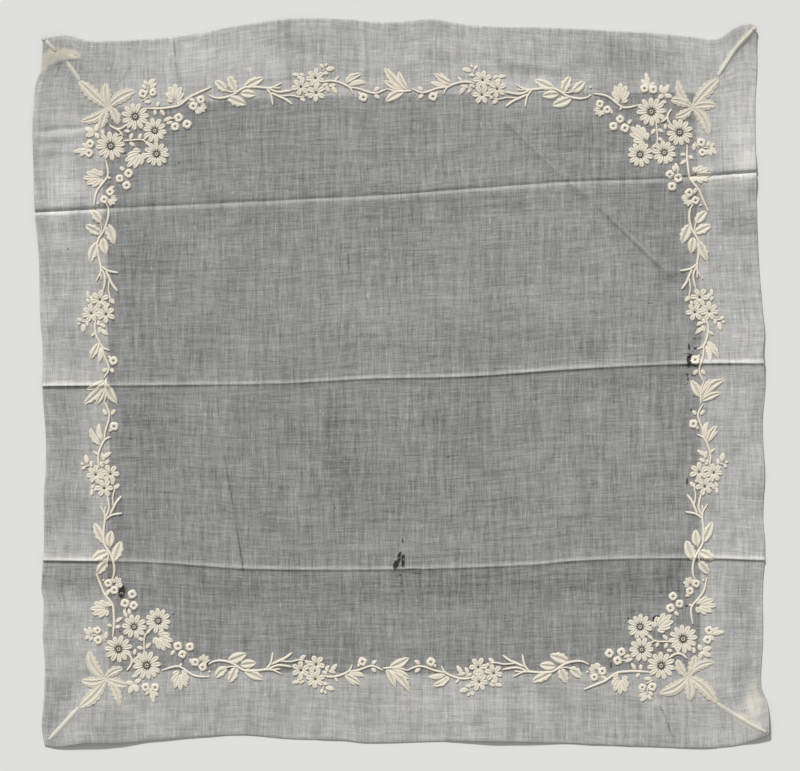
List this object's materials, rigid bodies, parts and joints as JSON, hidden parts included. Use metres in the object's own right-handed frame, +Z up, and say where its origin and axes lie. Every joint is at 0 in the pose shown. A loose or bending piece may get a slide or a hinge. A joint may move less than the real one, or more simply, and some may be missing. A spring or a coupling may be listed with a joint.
{
  "type": "linen handkerchief",
  "caption": "Square sheer linen handkerchief with a wide mitred hem and a whitework flower border, lying open and face up with soft fold lines.",
  "frame": {"origin": "under the middle of the cloth's bounding box, on the surface that it lies on", "axes": "+X to the cloth's right side, +Y to its top side, +Z up out of its face"},
  "size_m": [0.3828, 0.3795, 0.0049],
  "materials": {
    "linen": "sheer matte plain-weave linen",
    "whitework": "soft lustre cream cotton stitching"
  },
  "bodies": {
    "root": {"handkerchief": "linen"}
  },
  "joints": []
}
